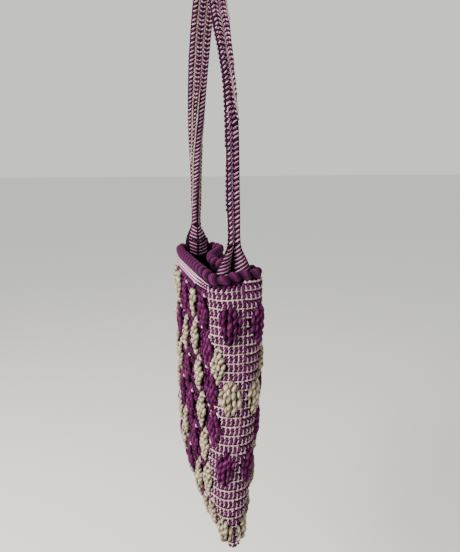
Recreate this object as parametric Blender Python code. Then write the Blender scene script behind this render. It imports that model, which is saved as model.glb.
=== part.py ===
"""A hand-worked wool pouch that hangs by its shoulder strap.

Two thick panels with raised lozenges are joined down both sides and along the bottom.
A fat wrapped roll finishes the mouth. One woven band, folded lengthwise, is the strap:
each end opens into a fan that is sewn inside the roll.
Metres, +Z up, the front faces -Y and the near side +X. The origin is the underside of the
strap where it hangs.
"""

import math

import bmesh
import bpy
import numpy

# Driving sizes of the pouch. RELIEF_SLOPE is how steeply a lozenge rises from its points to its
# flat top, and MOUTH_BOW, MOUTH_PINCH and MOUTH_DIP shape the mouth.
POUCH_WIDTH = 0.180
POUCH_HEIGHT = 0.312
FRONT_REACH = 0.032
BACK_REACH = 0.038
WALL = 0.004
RELIEF = 0.0055
RELIEF_SLOPE = 1.7
MOUTH_BOW = 0.033
MOUTH_PINCH = 0.004
MOUTH_DIP = 0.005

# Driving sizes of the rim roll and the strap. RIM_PINCH is the roll's radius between two turns
# of yarn as a share of the full one, and GROOVE_POWER how sharply the folded band dips.
RIM_THICK = 0.012
RIM_TURNS = 40
RIM_PINCH = 0.86
STRAP_DROP = 0.290
STRAP_WIDTH = 0.022
STRAP_THICK = 0.0045
NECK_WIDTH = 0.012
FAN_WIDTH = 0.040
FAN_RISE = 0.029
FAN_TUCK = 0.014
FAN_ROWS = 3
GROOVE_POWER = 1.5

# Clearances: between pieces that touch, and between the faceted roll and the walls below it
GAP = 0.0003
ROLL_GAP = 0.0006

FRONT, BACK = -1, 1
HALF_WIDTH = POUCH_WIDTH / 2
RIM_RADIUS = RIM_THICK / 2
RIM_LEVEL = -STRAP_DROP

# Mesh density: steps across and down a panel, sides of the roll, stations along half the strap
# and points across one face of the band
ACROSS = 36
DOWN = 28
ROLL_SIDES = 8
STRAP_STATIONS = 33
BAND_SHARES = (-1.0, -0.5, 0.0, 0.5, 1.0)
FINE = 361

# The pouch's level sections. down is the share of the height; width is a share of the half
# width, front of FRONT_REACH, back and seam of BACK_REACH; bow is the share of MOUTH_BOW, which
# presses the back in, and of MOUTH_PINCH, which draws in its far corner; square is the
# exponent of the section, 2 for an ellipse and more for squarer corners; open is the share of
# the hollow left between the walls, which meet in the bottom seam.
LEVELS_COLUMNS = ("down", "width", "front", "back", "seam", "bow", "square", "open")
LEVELS = (
    (0.00, 1.00, 0.88, 0.85, 0.16, 1.00, 4.6, 1.0),
    (0.10, 0.99, 0.92, 0.92, 0.23, 0.75, 3.6, 1.0),
    (0.20, 0.98, 0.97, 0.96, 0.25, 0.50, 3.0, 1.0),
    (0.34, 0.97, 1.02, 0.96, 0.25, 0.25, 2.5, 1.0),
    (0.49, 0.97, 1.03, 0.93, 0.18, 0.10, 2.5, 1.0),
    (0.66, 0.98, 0.98, 0.82, 0.05, 0.00, 2.5, 1.0),
    (0.78, 0.99, 0.88, 0.68, -0.03, 0.00, 2.7, 1.0),
    (0.88, 1.00, 0.68, 0.45, -0.06, 0.00, 3.0, 0.9),
    (0.96, 1.00, 0.39, 0.28, -0.05, 0.00, 3.4, 0.3),
    (1.00, 0.98, 0.23, 0.16, -0.03, 0.00, 4.0, 0.0),
)

# Where the back of the mouth is pressed in, and how far to each side, as shares of the half width
BOW_PLACE = 0.10
BOW_SPREAD = 0.85

# Height of the mouth along each panel. place runs from -1 at the far seam to 1 at the near
# seam; rise is a share of MOUTH_DIP.
MOUTH_COLUMNS = ("place", "rise")
FRONT_MOUTH = (
    (-1.00, 0.0),
    (-0.40, 0.0),
    (0.55, 0.0),
    (0.70, -0.60),
    (0.80, -0.95),
    (0.90, -0.35),
    (0.97, -0.03),
    (1.00, 0.0),
)
BACK_MOUTH = (
    (-1.00, 0.0),
    (0.00, 0.1),
    (1.00, 0.0),
)

# Raised lozenges of thick roving, in columns from side to side of a panel. place is as above,
# first is the share of the height at the first lozenge and step at each next one; wide and
# tall are half sizes, as shares of half the panel's run and of its height.
LOZENGE_COLUMNS = ("place", "first", "step", "count", "wide", "tall")
LOZENGES = tuple(
    (side * place, first, step, count, wide, tall)
    for side in (-1, 1)
    for place, first, step, count, wide, tall in (
        (0.875, 0.165, 0.250, 4, 0.120, 0.110),
        (0.750, 0.245, 0.160, 2, 0.090, 0.090),
        (0.611, 0.070, 0.156, 6, 0.110, 0.090),
        (0.444, 0.045, 0.156, 6, 0.110, 0.090),
        (0.222, 0.060, 0.156, 6, 0.110, 0.090),
    )
) + ((0.0, 0.050, 0.156, 6, 0.110, 0.090),)

# The strap's outer line on its near half. run counts along it from the mouth, where it starts
# as the share of STRAP_DROP climbed, and ends at STRAP_TOP; up is that share, out a share of
# the half width. The last row is past the top, on the far half.
STRAP_TOP = 1.09
STRAP_COLUMNS = ("run", "up", "out")
STRAP_LINE = (
    (0.11, 0.11, 0.940),
    (0.25, 0.248, 0.900),
    (0.44, 0.438, 0.867),
    (0.57, 0.569, 0.789),
    (0.68, 0.672, 0.692),
    (0.775, 0.759, 0.592),
    (0.86, 0.836, 0.472),
    (0.945, 0.911, 0.330),
    (1.03, 0.976, 0.165),
    (STRAP_TOP, 1.0, 0.0),
    (1.15, 0.976, -0.165),
)

# How the band is folded along each half of the strap: width across, depth of the groove
# between its two folded halves, and how far it leans out of the strap's plane.
FOLD_COLUMNS = ("run", "width", "groove", "side")
NEAR_FOLDS = (
    (-FAN_TUCK / STRAP_DROP, FAN_WIDTH, 0.44 * NECK_WIDTH, 0.0),
    (0.0, FAN_WIDTH, 0.69 * NECK_WIDTH, 0.0),
    (0.5 * FAN_RISE / STRAP_DROP, 0.70 * FAN_WIDTH, 0.75 * NECK_WIDTH, 0.0),
    (FAN_RISE / STRAP_DROP, NECK_WIDTH, 0.50 * NECK_WIDTH, 0.0),
    (0.22, 0.98 * NECK_WIDTH, 0.38 * NECK_WIDTH, 0.0),
    (0.45, 0.96 * NECK_WIDTH, 0.34 * NECK_WIDTH, 0.0),
    (0.60, 0.88 * NECK_WIDTH, 0.30 * NECK_WIDTH, 0.0),
    (0.70, 0.97 * NECK_WIDTH, 0.24 * NECK_WIDTH, -0.05 * STRAP_WIDTH),
    (0.80, 0.68 * STRAP_WIDTH, 0.15 * NECK_WIDTH, -0.10 * STRAP_WIDTH),
    (0.88, 0.71 * STRAP_WIDTH, 0.08 * NECK_WIDTH, -0.11 * STRAP_WIDTH),
    (STRAP_TOP, STRAP_WIDTH, 0.0, 0.0),
)
FAR_FOLDS = (
    (-FAN_TUCK / STRAP_DROP, FAN_WIDTH, 0.44 * NECK_WIDTH, 0.0),
    (0.0, FAN_WIDTH, 0.69 * NECK_WIDTH, 0.0),
    (0.5 * FAN_RISE / STRAP_DROP, 0.70 * FAN_WIDTH, 0.75 * NECK_WIDTH, 0.0),
    (FAN_RISE / STRAP_DROP, 0.90 * NECK_WIDTH, 0.62 * NECK_WIDTH, 0.0),
    (0.20, 0.92 * NECK_WIDTH, 0.60 * NECK_WIDTH, 0.0),
    (0.30, 1.02 * NECK_WIDTH, 0.55 * NECK_WIDTH, 0.0),
    (0.40, 1.22 * NECK_WIDTH, 0.45 * NECK_WIDTH, 0.0),
    (0.50, 0.82 * STRAP_WIDTH, 0.35 * NECK_WIDTH, 0.0),
    (0.60, 0.93 * STRAP_WIDTH, 0.22 * NECK_WIDTH, 0.0),
    (0.72, STRAP_WIDTH, 0.08 * NECK_WIDTH, 0.0),
    (0.85, 1.03 * STRAP_WIDTH, 0.0, 0.0),
    (STRAP_TOP, STRAP_WIDTH, 0.0, 0.0),
)


def row_at(columns, rows, key):
    """A table's values at any key, on a smooth curve through its rows (Catmull-Rom)."""
    keys = [row[0] for row in rows]
    last = len(rows) - 2
    low = min(max(numpy.searchsorted(keys, key) - 1, 0), last)
    points = [rows[min(max(low + step, 0), last + 1)] for step in (-1, 0, 1, 2)]
    share = (key - keys[low]) / (keys[low + 1] - keys[low])
    before, start, end, after = (numpy.array(point, dtype=float) for point in points)
    values = 0.5 * (
        2 * start
        + (end - before) * share
        + (2 * before - 5 * start + 4 * end - after) * share**2
        + (3 * start - before - 3 * end + after) * share**3
    )
    return dict(zip(columns, values))


def evenly(points, count):
    """The same polyline with count points at equal distances along it."""
    steps = numpy.linalg.norm(numpy.diff(points, axis=0), axis=1)
    run = numpy.concatenate(([0.0], numpy.cumsum(steps)))
    places = numpy.linspace(0.0, run[-1], count)
    return numpy.column_stack([numpy.interp(places, run, axis) for axis in points.T])


def wall_line(side, down, inset, count=ACROSS + 1):
    """One panel's wall seen from above at one level, from the far seam to the near seam."""
    level = row_at(LEVELS_COLUMNS, LEVELS, down)
    seam = level["seam"] * BACK_REACH
    if side == FRONT:
        reach = level["front"] * FRONT_REACH + seam
    else:
        reach = level["back"] * BACK_REACH - seam
    half_width = level["width"] * HALF_WIDTH - inset
    depth = max(reach - GAP / 2 - inset, 0.0) * (level["open"] if inset == WALL else 1.0)
    angle = numpy.linspace(math.pi, 0.0, FINE)
    power = 2 / level["square"]
    x = half_width * numpy.sign(numpy.cos(angle)) * numpy.abs(numpy.cos(angle)) ** power
    bulge = numpy.abs(numpy.sin(angle)) ** power
    y = seam + side * (GAP / 2 + depth * bulge)
    if side == BACK:
        off = (x / HALF_WIDTH - BOW_PLACE) / BOW_SPREAD
        y -= level["bow"] * MOUTH_BOW * numpy.maximum(1.0 - off**2, 0.0) ** 2
        y -= level["bow"] * MOUTH_PINCH * bulge * numpy.clip(-x / HALF_WIDTH, 0.0, 1.0)
    return evenly(numpy.column_stack((x, y)), count)


def mouth_height(side, place):
    """Height of the middle of the roll along one panel."""
    rows = FRONT_MOUTH if side == FRONT else BACK_MOUTH
    return RIM_LEVEL + MOUTH_DIP * row_at(MOUTH_COLUMNS, rows, place)["rise"]


def lozenge_height(place, down):
    """How far the roving stands proud of the wall at one place of a panel."""
    tallest = 0.0
    for row in LOZENGES:
        column = dict(zip(LOZENGE_COLUMNS, row))
        for turn in range(column["count"]):
            centre = column["first"] + turn * column["step"]
            off = abs(place - column["place"]) / column["wide"] + abs(down - centre) / column["tall"]
            tallest = max(tallest, 1.0 - off)
    return RELIEF * min(1.0, RELIEF_SLOPE * tallest)


def outward(points, side):
    """Unit directions out of the pouch along a wall line."""
    along = numpy.gradient(points, axis=0)
    along /= numpy.linalg.norm(along, axis=1)[:, None]
    return side * numpy.column_stack((-along[:, 1], along[:, 0]))


def wall_tops(side):
    """Heights of a panel's top edge, on which the underside of the roll rests."""
    middle = numpy.array([mouth_height(side, 2 * step / ACROSS - 1) for step in range(ACROSS + 1)])
    line = wall_line(side, 0.0, WALL / 2)
    slope = numpy.gradient(middle) / numpy.linalg.norm(line[1] - line[0])
    under = RIM_RADIUS * math.cos(math.pi / ROLL_SIDES)
    return middle - under * numpy.sqrt(1.0 + slope**2) - ROLL_GAP


def panel_grid(side, inset, rows_down, raised):
    """Rows of 3D points over one face of a panel, from the mouth down to the bottom seam."""
    top = wall_tops(side)
    bottom = RIM_LEVEL - POUCH_HEIGHT
    grid = []
    for row in range(rows_down + 1):
        down = row / rows_down
        line = wall_line(side, down, inset)
        if raised:
            heights = [lozenge_height(2 * step / ACROSS - 1, down) for step in range(ACROSS + 1)]
            line = line + outward(line, side) * numpy.array(heights)[:, None]
        grid.append([(x, y, high + (bottom - high) * down) for (x, y), high in zip(line, top)])
    return grid


def add_grid(bm, grid):
    """Vertices and quads of a grid of points; returns the rows of vertices."""
    rows = [[bm.verts.new(point) for point in row] for row in grid]
    for upper, lower in zip(rows, rows[1:]):
        for step in range(len(upper) - 1):
            bm.faces.new((upper[step], upper[step + 1], lower[step + 1], lower[step]))
    return rows


def close_side(bm, outer, inner, end):
    """The seam edge of a panel, between its outer rows and half as many inner rows."""
    for step in range(len(inner) - 1):
        upper, middle, lower = (outer[2 * step + part][end] for part in (0, 1, 2))
        bm.faces.new((upper, middle, inner[step][end]))
        bm.faces.new((middle, inner[step + 1][end], inner[step][end]))
        bm.faces.new((middle, lower, inner[step + 1][end]))


def material(name, colour, roughness):
    made = bpy.data.materials.new(name)
    made.use_nodes = True
    shader = made.node_tree.nodes["Principled BSDF"]
    shader.inputs["Base Color"].default_value = (*colour, 1.0)
    shader.inputs["Roughness"].default_value = roughness
    shader.inputs["Metallic"].default_value = 0.0
    return made


def add_object(name, bm, finish):
    """Turns a closed bmesh into a named object with its faces pointing out."""
    bmesh.ops.recalc_face_normals(bm, faces=bm.faces)
    if bm.calc_volume(signed=True) < 0:
        bmesh.ops.reverse_faces(bm, faces=bm.faces)
    mesh = bpy.data.meshes.new(name)
    bm.to_mesh(mesh)
    bm.free()
    mesh.shade_smooth()
    mesh.materials.append(finish)
    bpy.context.scene.collection.objects.link(bpy.data.objects.new(name, mesh))


def panel(name, side, finish):
    """A thick panel: a raised outer face, a plain inner face and the edges between them."""
    bm = bmesh.new()
    outer = add_grid(bm, panel_grid(side, 0.0, DOWN, raised=True))
    inner = add_grid(bm, panel_grid(side, WALL, DOWN // 2, raised=False))
    for end in (0, ACROSS):
        close_side(bm, outer, inner, end)
    for edge in (0, -1):
        for step in range(ACROSS):
            here, following = outer[edge][step:step + 2]
            bm.faces.new((here, following, inner[edge][step + 1], inner[edge][step]))
    add_object(name, bm, finish)


def mouth_loop(count):
    """The middle of the roll round the whole mouth, as a closed run of points."""
    halves = []
    for side in (FRONT, BACK):
        heights = [mouth_height(side, 2 * step / ACROSS - 1) for step in range(ACROSS + 1)]
        halves.append(numpy.column_stack((wall_line(side, 0.0, WALL / 2), heights)))
    near_to_far = halves[1][::-1]
    loop = numpy.concatenate((halves[0][:-1], near_to_far[:-1], halves[0][:1]))
    return evenly(loop, count + 1)[:-1]


def rim(finish):
    """The wrapped roll: a ring that is full at each turn of yarn and pinched between turns."""
    centres = mouth_loop(2 * RIM_TURNS)
    bm = bmesh.new()
    rings = []
    for station, centre in enumerate(centres):
        along = centres[(station + 1) % len(centres)] - centres[station - 1]
        sideways = numpy.cross(along, (0.0, 0.0, 1.0))
        sideways /= numpy.linalg.norm(sideways)
        upwards = numpy.cross(sideways, along)
        upwards /= numpy.linalg.norm(upwards)
        radius = RIM_RADIUS * (1.0 if station % 2 == 0 else RIM_PINCH)
        angles = (2 * math.pi * (side + 0.5) / ROLL_SIDES for side in range(ROLL_SIDES))
        rings.append([
            bm.verts.new(centre + radius * (math.cos(angle) * sideways + math.sin(angle) * upwards))
            for angle in angles
        ])
    for ring, following in zip(rings, rings[1:] + rings[:1]):
        for side in range(ROLL_SIDES):
            after = (side + 1) % ROLL_SIDES
            bm.faces.new((ring[side], ring[after], following[after], following[side]))
    add_object("rim", bm, finish)


def fan_line(end):
    """The inside of the roll at one end of the mouth, seen from above, where a fan is sewn.

    end is 1 for the near end and -1 for the far one, whose distances out are counted as if it
    were the near one. Columns: distance along the line from the strap's plane, out, y, and
    the unit direction into the mouth.
    """
    inset = WALL / 2 + RIM_RADIUS + GAP
    front = wall_line(FRONT, 0.0, inset, FINE)[::end]
    back = wall_line(BACK, 0.0, inset, FINE)[::-end]
    line = numpy.concatenate((front[FINE // 2:], back[:numpy.argmax(back[:FINE // 2, 1])]))
    line = evenly(line * (end, 1), FINE)
    run = numpy.linalg.norm(line[1] - line[0]) * numpy.arange(FINE)
    run -= numpy.interp(0.0, line[:, 1], run)
    return numpy.column_stack((run, line, -outward(line, FRONT)))


def strap_centre(seat, run):
    """Outer line of half the strap, from its seat in the mouth: distance out and height."""
    if run <= 0.0:
        return seat, RIM_LEVEL + run * STRAP_DROP
    point = row_at(STRAP_COLUMNS, ((0.0, 0.0, seat / HALF_WIDTH),) + STRAP_LINE, run)
    return point["out"] * HALF_WIDTH, RIM_LEVEL + point["up"] * (STRAP_DROP + STRAP_THICK)


def strap_section(roll, folds, run, before, after):
    """Points round the folded band at one station: five along its outer face, five inside."""
    seat = numpy.interp(0.0, roll[:, 0], roll[:, 1])
    out, height = strap_centre(seat, run)
    direction = numpy.array(strap_centre(seat, after)) - numpy.array(strap_centre(seat, before))
    if run >= STRAP_TOP:
        direction = numpy.array((-1.0, 0.0))
    normal = numpy.array((direction[1], -direction[0])) / numpy.linalg.norm(direction)
    fold = row_at(FOLD_COLUMNS, folds, run)
    sewn = min(max(1.0 - (run * STRAP_DROP - RIM_RADIUS) / (FAN_RISE - RIM_RADIUS), 0.0), 1.0)
    points = []
    for depth, shares in ((0.0, BAND_SHARES), (STRAP_THICK, BAND_SHARES[::-1])):
        for share in shares:
            across = share * fold["width"] / 2
            sunk = depth + max(fold["groove"], 0.0) * (1.0 - abs(share)) ** GROOVE_POWER
            seat_out, seat_y, in_out, in_y = (
                numpy.interp(across, roll[:, 0], column) for column in roll.T[1:]
            )
            beside = across + fold["side"]
            free = numpy.array((out - normal[0] * sunk, beside, height - normal[1] * sunk))
            seated = numpy.array((seat_out + in_out * sunk, seat_y + in_y * sunk, height))
            points.append(sewn * seated + (1.0 - sewn) * free)
    return points


def strap_half(end):
    """Sections of half the strap, from its fan inside the mouth up to the top."""
    roll = fan_line(end)
    folds = NEAR_FOLDS if end > 0 else FAR_FOLDS
    fan_steps = [-FAN_TUCK, 0.0, *numpy.linspace(RIM_RADIUS, FAN_RISE, FAN_ROWS, endpoint=False)]
    runs = [step / STRAP_DROP for step in fan_steps]
    runs += list(numpy.linspace(FAN_RISE / STRAP_DROP, STRAP_TOP, STRAP_STATIONS - len(runs)))
    last = len(runs) - 1
    sections = [
        strap_section(roll, folds, run, runs[max(place - 1, 0)], runs[min(place + 1, last)])
        for place, run in enumerate(runs)
    ]
    return [[(end * out, y, z) for out, y, z in section] for section in sections]


def strap(finish):
    """One folded band from inside the near side of the roll, over the top, to the far side."""
    bm = bmesh.new()
    sections = strap_half(1) + strap_half(-1)[-2::-1]
    rings = [[bm.verts.new(point) for point in section] for section in sections]
    sides = len(rings[0])
    for ring, following in zip(rings, rings[1:]):
        for side in range(sides):
            after = (side + 1) % sides
            bm.faces.new((ring[side], ring[after], following[after], following[side]))
    for ring in (rings[0], rings[-1]):
        for side in range(sides // 2 - 1):
            bm.faces.new((ring[side], ring[side + 1], ring[sides - 2 - side], ring[sides - 1 - side]))
    add_object("strap", bm, finish)


for existing in list(bpy.data.objects):
    bpy.data.objects.remove(existing)

purple_roving = material("purple_roving", (0.14, 0.02, 0.12), 0.95)
striped_weave = material("striped_weave", (0.25, 0.10, 0.20), 0.92)
panel("front_panel", FRONT, striped_weave)
panel("back_panel", BACK, striped_weave)
rim(purple_roving)
strap(material("woven_band", (0.20, 0.06, 0.15), 0.90))
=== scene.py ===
"""Looks of a hand-worked wool pouch: the strands of its weave, its roving, rim and strap.

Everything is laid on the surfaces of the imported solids, in metres and in their frame.
"""

import math

import bmesh
import bpy
import numpy
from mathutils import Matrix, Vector


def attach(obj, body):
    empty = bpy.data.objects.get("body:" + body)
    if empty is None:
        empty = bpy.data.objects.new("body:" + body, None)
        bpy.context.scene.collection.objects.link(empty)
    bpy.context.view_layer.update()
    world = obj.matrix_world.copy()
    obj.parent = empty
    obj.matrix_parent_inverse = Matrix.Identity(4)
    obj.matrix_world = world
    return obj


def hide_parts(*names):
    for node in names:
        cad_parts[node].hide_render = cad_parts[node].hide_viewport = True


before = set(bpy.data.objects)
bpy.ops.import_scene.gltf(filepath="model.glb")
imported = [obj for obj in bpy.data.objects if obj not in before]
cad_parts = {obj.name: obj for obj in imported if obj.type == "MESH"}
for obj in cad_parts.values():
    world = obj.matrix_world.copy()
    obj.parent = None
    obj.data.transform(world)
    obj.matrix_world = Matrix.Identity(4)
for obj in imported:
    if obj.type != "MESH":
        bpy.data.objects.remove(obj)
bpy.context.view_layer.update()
chance = numpy.random.default_rng(7)


# The two walls: the felted purple ground of the fabric.
# Each panel is one worked piece of wool and cotton, about 4 mm thick, closed to the other
# down both sides and along the bottom. The strands of the later sections lie on it.

POUCH_WIDTH = 0.180
POUCH_HEIGHT = 0.312
FRONT_REACH = 0.032
BACK_REACH = 0.038
WALL = 0.004
MOUTH_BOW = 0.033
MOUTH_PINCH = 0.004
MOUTH_DIP = 0.005
RIM_THICK = 0.010
STRAP_DROP = 0.290
GAP = 0.0003

FRONT, BACK = -1, 1
SIDE_NAMES = {FRONT: "front", BACK: "back"}
HALF_WIDTH = POUCH_WIDTH / 2
RIM_RADIUS = RIM_THICK / 2
RIM_LEVEL = -STRAP_DROP
WALL_FOOT = RIM_LEVEL - POUCH_HEIGHT

# down is a share of the height; width is a share of the half width, front of FRONT_REACH,
# back and seam of BACK_REACH, bow of MOUTH_BOW; square is the exponent of the section
LEVELS_COLUMNS = ("down", "width", "front", "back", "seam", "bow", "square", "open")
LEVELS = (
    (0.00, 1.00, 0.88, 0.85, 0.16, 1.00, 4.6, 1.0),
    (0.10, 0.99, 0.92, 0.92, 0.23, 0.75, 3.6, 1.0),
    (0.20, 0.98, 0.97, 0.96, 0.25, 0.50, 3.0, 1.0),
    (0.34, 0.97, 1.02, 0.96, 0.25, 0.25, 2.5, 1.0),
    (0.49, 0.97, 1.03, 0.93, 0.18, 0.10, 2.5, 1.0),
    (0.66, 0.98, 0.98, 0.82, 0.05, 0.00, 2.5, 1.0),
    (0.78, 0.99, 0.88, 0.68, -0.03, 0.00, 2.7, 1.0),
    (0.88, 1.00, 0.68, 0.45, -0.06, 0.00, 3.0, 0.9),
    (0.96, 1.00, 0.39, 0.28, -0.05, 0.00, 3.4, 0.3),
    (1.00, 0.98, 0.23, 0.16, -0.03, 0.00, 4.0, 0.0),
)
BOW_PLACE = 0.10
BOW_SPREAD = 0.85

# place runs from -1 at the far seam to 1 at the near seam; rise is a share of MOUTH_DIP
MOUTH_COLUMNS = ("place", "rise")
FRONT_MOUTH = (
    (-1.00, 0.0),
    (-0.40, 0.0),
    (0.55, 0.0),
    (0.70, -0.60),
    (0.80, -0.95),
    (0.90, -0.35),
    (0.97, -0.03),
    (1.00, 0.0),
)
BACK_MOUTH = (
    (-1.00, 0.0),
    (0.00, 0.1),
    (1.00, 0.0),
)

# The dips of the mouth's edge fade out over this share of the height
DIP_FADE = 0.05
LINE_STEPS = 361
WALL_ROWS = 90
WALL_STEPS = 120


def row_at(columns, rows, key):
    """A table's values at any key, on a smooth curve through its rows (Catmull-Rom)."""
    keys = [row[0] for row in rows]
    last = len(rows) - 2
    low = min(max(numpy.searchsorted(keys, key) - 1, 0), last)
    points = [rows[min(max(low + step, 0), last + 1)] for step in (-1, 0, 1, 2)]
    share = (key - keys[low]) / (keys[low + 1] - keys[low])
    before, start, end, after = (numpy.array(point, dtype=float) for point in points)
    values = 0.5 * (
        2 * start
        + (end - before) * share
        + (2 * before - 5 * start + 4 * end - after) * share**2
        + (3 * start - before - 3 * end + after) * share**3
    )
    return dict(zip(columns, values))


def evenly(points, count):
    """The same polyline with count points at equal distances along it."""
    steps = numpy.linalg.norm(numpy.diff(points, axis=0), axis=1)
    run = numpy.concatenate(([0.0], numpy.cumsum(steps)))
    places = numpy.linspace(0.0, run[-1], count)
    return numpy.column_stack([numpy.interp(places, run, axis) for axis in points.T])


def wall_line(side, down, inset, count=WALL_STEPS + 1):
    """One panel's wall seen from above at one level, from the far seam to the near seam."""
    level = row_at(LEVELS_COLUMNS, LEVELS, down)
    seam = level["seam"] * BACK_REACH
    if side == FRONT:
        reach = level["front"] * FRONT_REACH + seam
    else:
        reach = level["back"] * BACK_REACH - seam
    half_width = level["width"] * HALF_WIDTH - inset
    depth = max(reach - GAP / 2 - inset, 0.0) * (level["open"] if inset == WALL else 1.0)
    angle = numpy.linspace(math.pi, 0.0, LINE_STEPS)
    power = 2 / level["square"]
    x = half_width * numpy.sign(numpy.cos(angle)) * numpy.abs(numpy.cos(angle)) ** power
    bulge = numpy.abs(numpy.sin(angle)) ** power
    y = seam + side * (GAP / 2 + depth * bulge)
    if side == BACK:
        off = (x / HALF_WIDTH - BOW_PLACE) / BOW_SPREAD
        y -= level["bow"] * MOUTH_BOW * numpy.maximum(1.0 - off**2, 0.0) ** 2
        y -= level["bow"] * MOUTH_PINCH * bulge * numpy.clip(-x / HALF_WIDTH, 0.0, 1.0)
    return evenly(numpy.column_stack((x, y)), count)


def mouth_heights(side):
    """Height of the middle of the rim roll at each step along one panel."""
    rows = FRONT_MOUTH if side == FRONT else BACK_MOUTH
    places = numpy.linspace(-1.0, 1.0, WALL_STEPS + 1)
    rises = [row_at(MOUTH_COLUMNS, rows, place)["rise"] for place in places]
    return RIM_LEVEL + MOUTH_DIP * numpy.array(rises)


def wall_points(side, inset):
    """A grid of points on one face of a panel, in rows from the mouth to the bottom seam."""
    top = RIM_LEVEL - RIM_RADIUS
    dips = mouth_heights(side) - RIM_LEVEL
    rows = []
    for down in numpy.linspace(0.0, 1.0, WALL_ROWS + 1):
        line = wall_line(side, down, inset)
        height = top + (WALL_FOOT - top) * down + dips * max(1.0 - down / DIP_FADE, 0.0) ** 2
        rows.append(numpy.column_stack((line, height)))
    return numpy.array(rows)


def sheet_of(points, flip):
    """A surface to lay yarn on: a grid of points, each with its direction outwards."""
    along, across = numpy.gradient(points, axis=0), numpy.gradient(points, axis=1)
    out = numpy.cross(along, across) * flip
    out /= numpy.maximum(numpy.linalg.norm(out, axis=2, keepdims=True), 1e-12)
    return numpy.concatenate((points, out), axis=2)


def on_sheet(sheet, across, down, lift):
    """Points at shares across and down a surface, raised off it, and the directions out there."""
    rows, columns = sheet.shape[:2]
    column = numpy.clip(across, 0.0, 1.0) * (columns - 1)
    row = numpy.clip(down, 0.0, 1.0) * (rows - 1)
    left = numpy.minimum(column.astype(int), columns - 2)
    upper = numpy.minimum(row.astype(int), rows - 2)
    right_share = (column - left)[..., None]
    lower_share = (row - upper)[..., None]
    top = sheet[upper, left] * (1 - right_share) + sheet[upper, left + 1] * right_share
    low = sheet[upper + 1, left] * (1 - right_share) + sheet[upper + 1, left + 1] * right_share
    mixed = top * (1 - lower_share) + low * lower_share
    out = mixed[..., 3:] / numpy.linalg.norm(mixed[..., 3:], axis=-1, keepdims=True)
    return mixed[..., :3] + out * numpy.asarray(lift)[..., None], out


def linear(code):
    """An sRGB hex colour as the linear values that shaders take."""
    channels = [int(code[place:place + 2], 16) / 255 for place in (1, 3, 5)]
    return [c / 12.92 if c <= 0.04045 else ((c + 0.055) / 1.055) ** 2.4 for c in channels] + [1.0]


def add_node(material, kind, settings=(), **inputs):
    """Adds a shader node; each input is a value or another node's output."""
    made = material.node_tree.nodes.new(kind)
    for name, value in dict(settings).items():
        setattr(made, name, value)
    for name, value in inputs.items():
        place = int(name[1:]) if name[1:].isdigit() else name.replace("_", " ")
        if isinstance(value, bpy.types.NodeSocket):
            material.node_tree.links.new(value, made.inputs[place])
        else:
            made.inputs[place].default_value = value
    return made


def new_material(name, roughness, sheen):
    """An empty material with its Principled shader set to a soft, dull fibre."""
    material = bpy.data.materials.new(name)
    material.use_nodes = True
    shader = material.node_tree.nodes["Principled BSDF"]
    shader.inputs["Roughness"].default_value = roughness
    shader.inputs["Specular IOR Level"].default_value = 0.08
    shader.inputs["Sheen Weight"].default_value = sheen
    shader.inputs["Sheen Roughness"].default_value = 0.5
    return material, shader


def finish_piece(piece, material, nodes):
    """Shades a finished piece and hands it to the frame in place of its solids."""
    piece.data.materials.append(material)
    piece.data.shade_smooth()
    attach(piece, "root")
    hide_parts(*nodes)


def object_of(name, bm):
    mesh = bpy.data.meshes.new(name)
    bm.to_mesh(mesh)
    bm.free()
    piece = bpy.data.objects.new(name, mesh)
    bpy.context.scene.collection.objects.link(piece)
    return piece


def shaped_grid(name, points, ply=None):
    """A flat grid moved to a grid of points, its seams merged where they meet and ends filled.

    ply holds, for yarn, the millimetres along it, the angle round it and its tone, which on the
    rim is painted shade in the dents.
    """
    rows, columns = points.shape[:2]
    bm = bmesh.new()
    bmesh.ops.create_grid(bm, x_segments=columns - 1, y_segments=rows - 1, size=0.5)
    layer = bm.verts.layers.float_vector.new("ply") if ply is not None else None
    for vert in bm.verts:
        column = round((vert.co.x + 0.5) * (columns - 1))
        row = round((vert.co.y + 0.5) * (rows - 1))
        vert.co = points[row, column]
        if layer:
            vert[layer] = ply[row, column]
    bmesh.ops.remove_doubles(bm, verts=bm.verts, dist=1e-6)
    bmesh.ops.holes_fill(bm, edges=bm.edges, sides=0)
    bmesh.ops.recalc_face_normals(bm, faces=bm.faces)
    return object_of(name, bm)


def felt_material():
    """Boiled purple wool behind the strands: matt, finely mottled, painted near black as the shade
    in the gaps between them.
    """
    material, shader = new_material("felted_ground_and_painted_shade", 0.95, 0.0)
    place = add_node(material, "ShaderNodeTexCoord").outputs["Object"]
    mottle = add_node(material, "ShaderNodeTexNoise", Vector=place, Scale=420.0, Detail=4.0)
    ramp = add_node(material, "ShaderNodeValToRGB", Fac=mottle.outputs["Fac"])
    # Painted shade: the ground is near black to stand for the shade in the gaps between the
    # strands.
    ramp.color_ramp.elements[0].color = linear("#0a0308")
    ramp.color_ramp.elements[1].color = linear("#2a0d26")
    bump = add_node(material, "ShaderNodeBump", Strength=0.6, Distance=0.0008,
                    Height=mottle.outputs["Fac"])
    material.node_tree.links.new(ramp.outputs["Color"], shader.inputs["Base Color"])
    material.node_tree.links.new(bump.outputs["Normal"], shader.inputs["Normal"])
    return material


def wall_shell(side):
    """The wall as one closed shell: outer face, bottom, inner face and the mouth's edge."""
    outer = wall_points(side, 0.0)
    inner = wall_points(side, WALL)
    around = numpy.concatenate((outer, inner[::-1], outer[:1]))
    return shaped_grid(f"{SIDE_NAMES[side]}_wall", around)


felt = felt_material()
sheets = {}
for side in (FRONT, BACK):
    finish_piece(wall_shell(side), felt, [f"{SIDE_NAMES[side]}_panel"])
    sheets[side] = sheet_of(wall_points(side, 0.0), -side)


# The raised lozenges: thick roving, undyed beige and purple, worked over the ground.
# Heaps of big loops stand by the seams and slim pods of smaller ones between them, where the
# pods of one column run on as a knotted chain down the panel.

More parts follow.
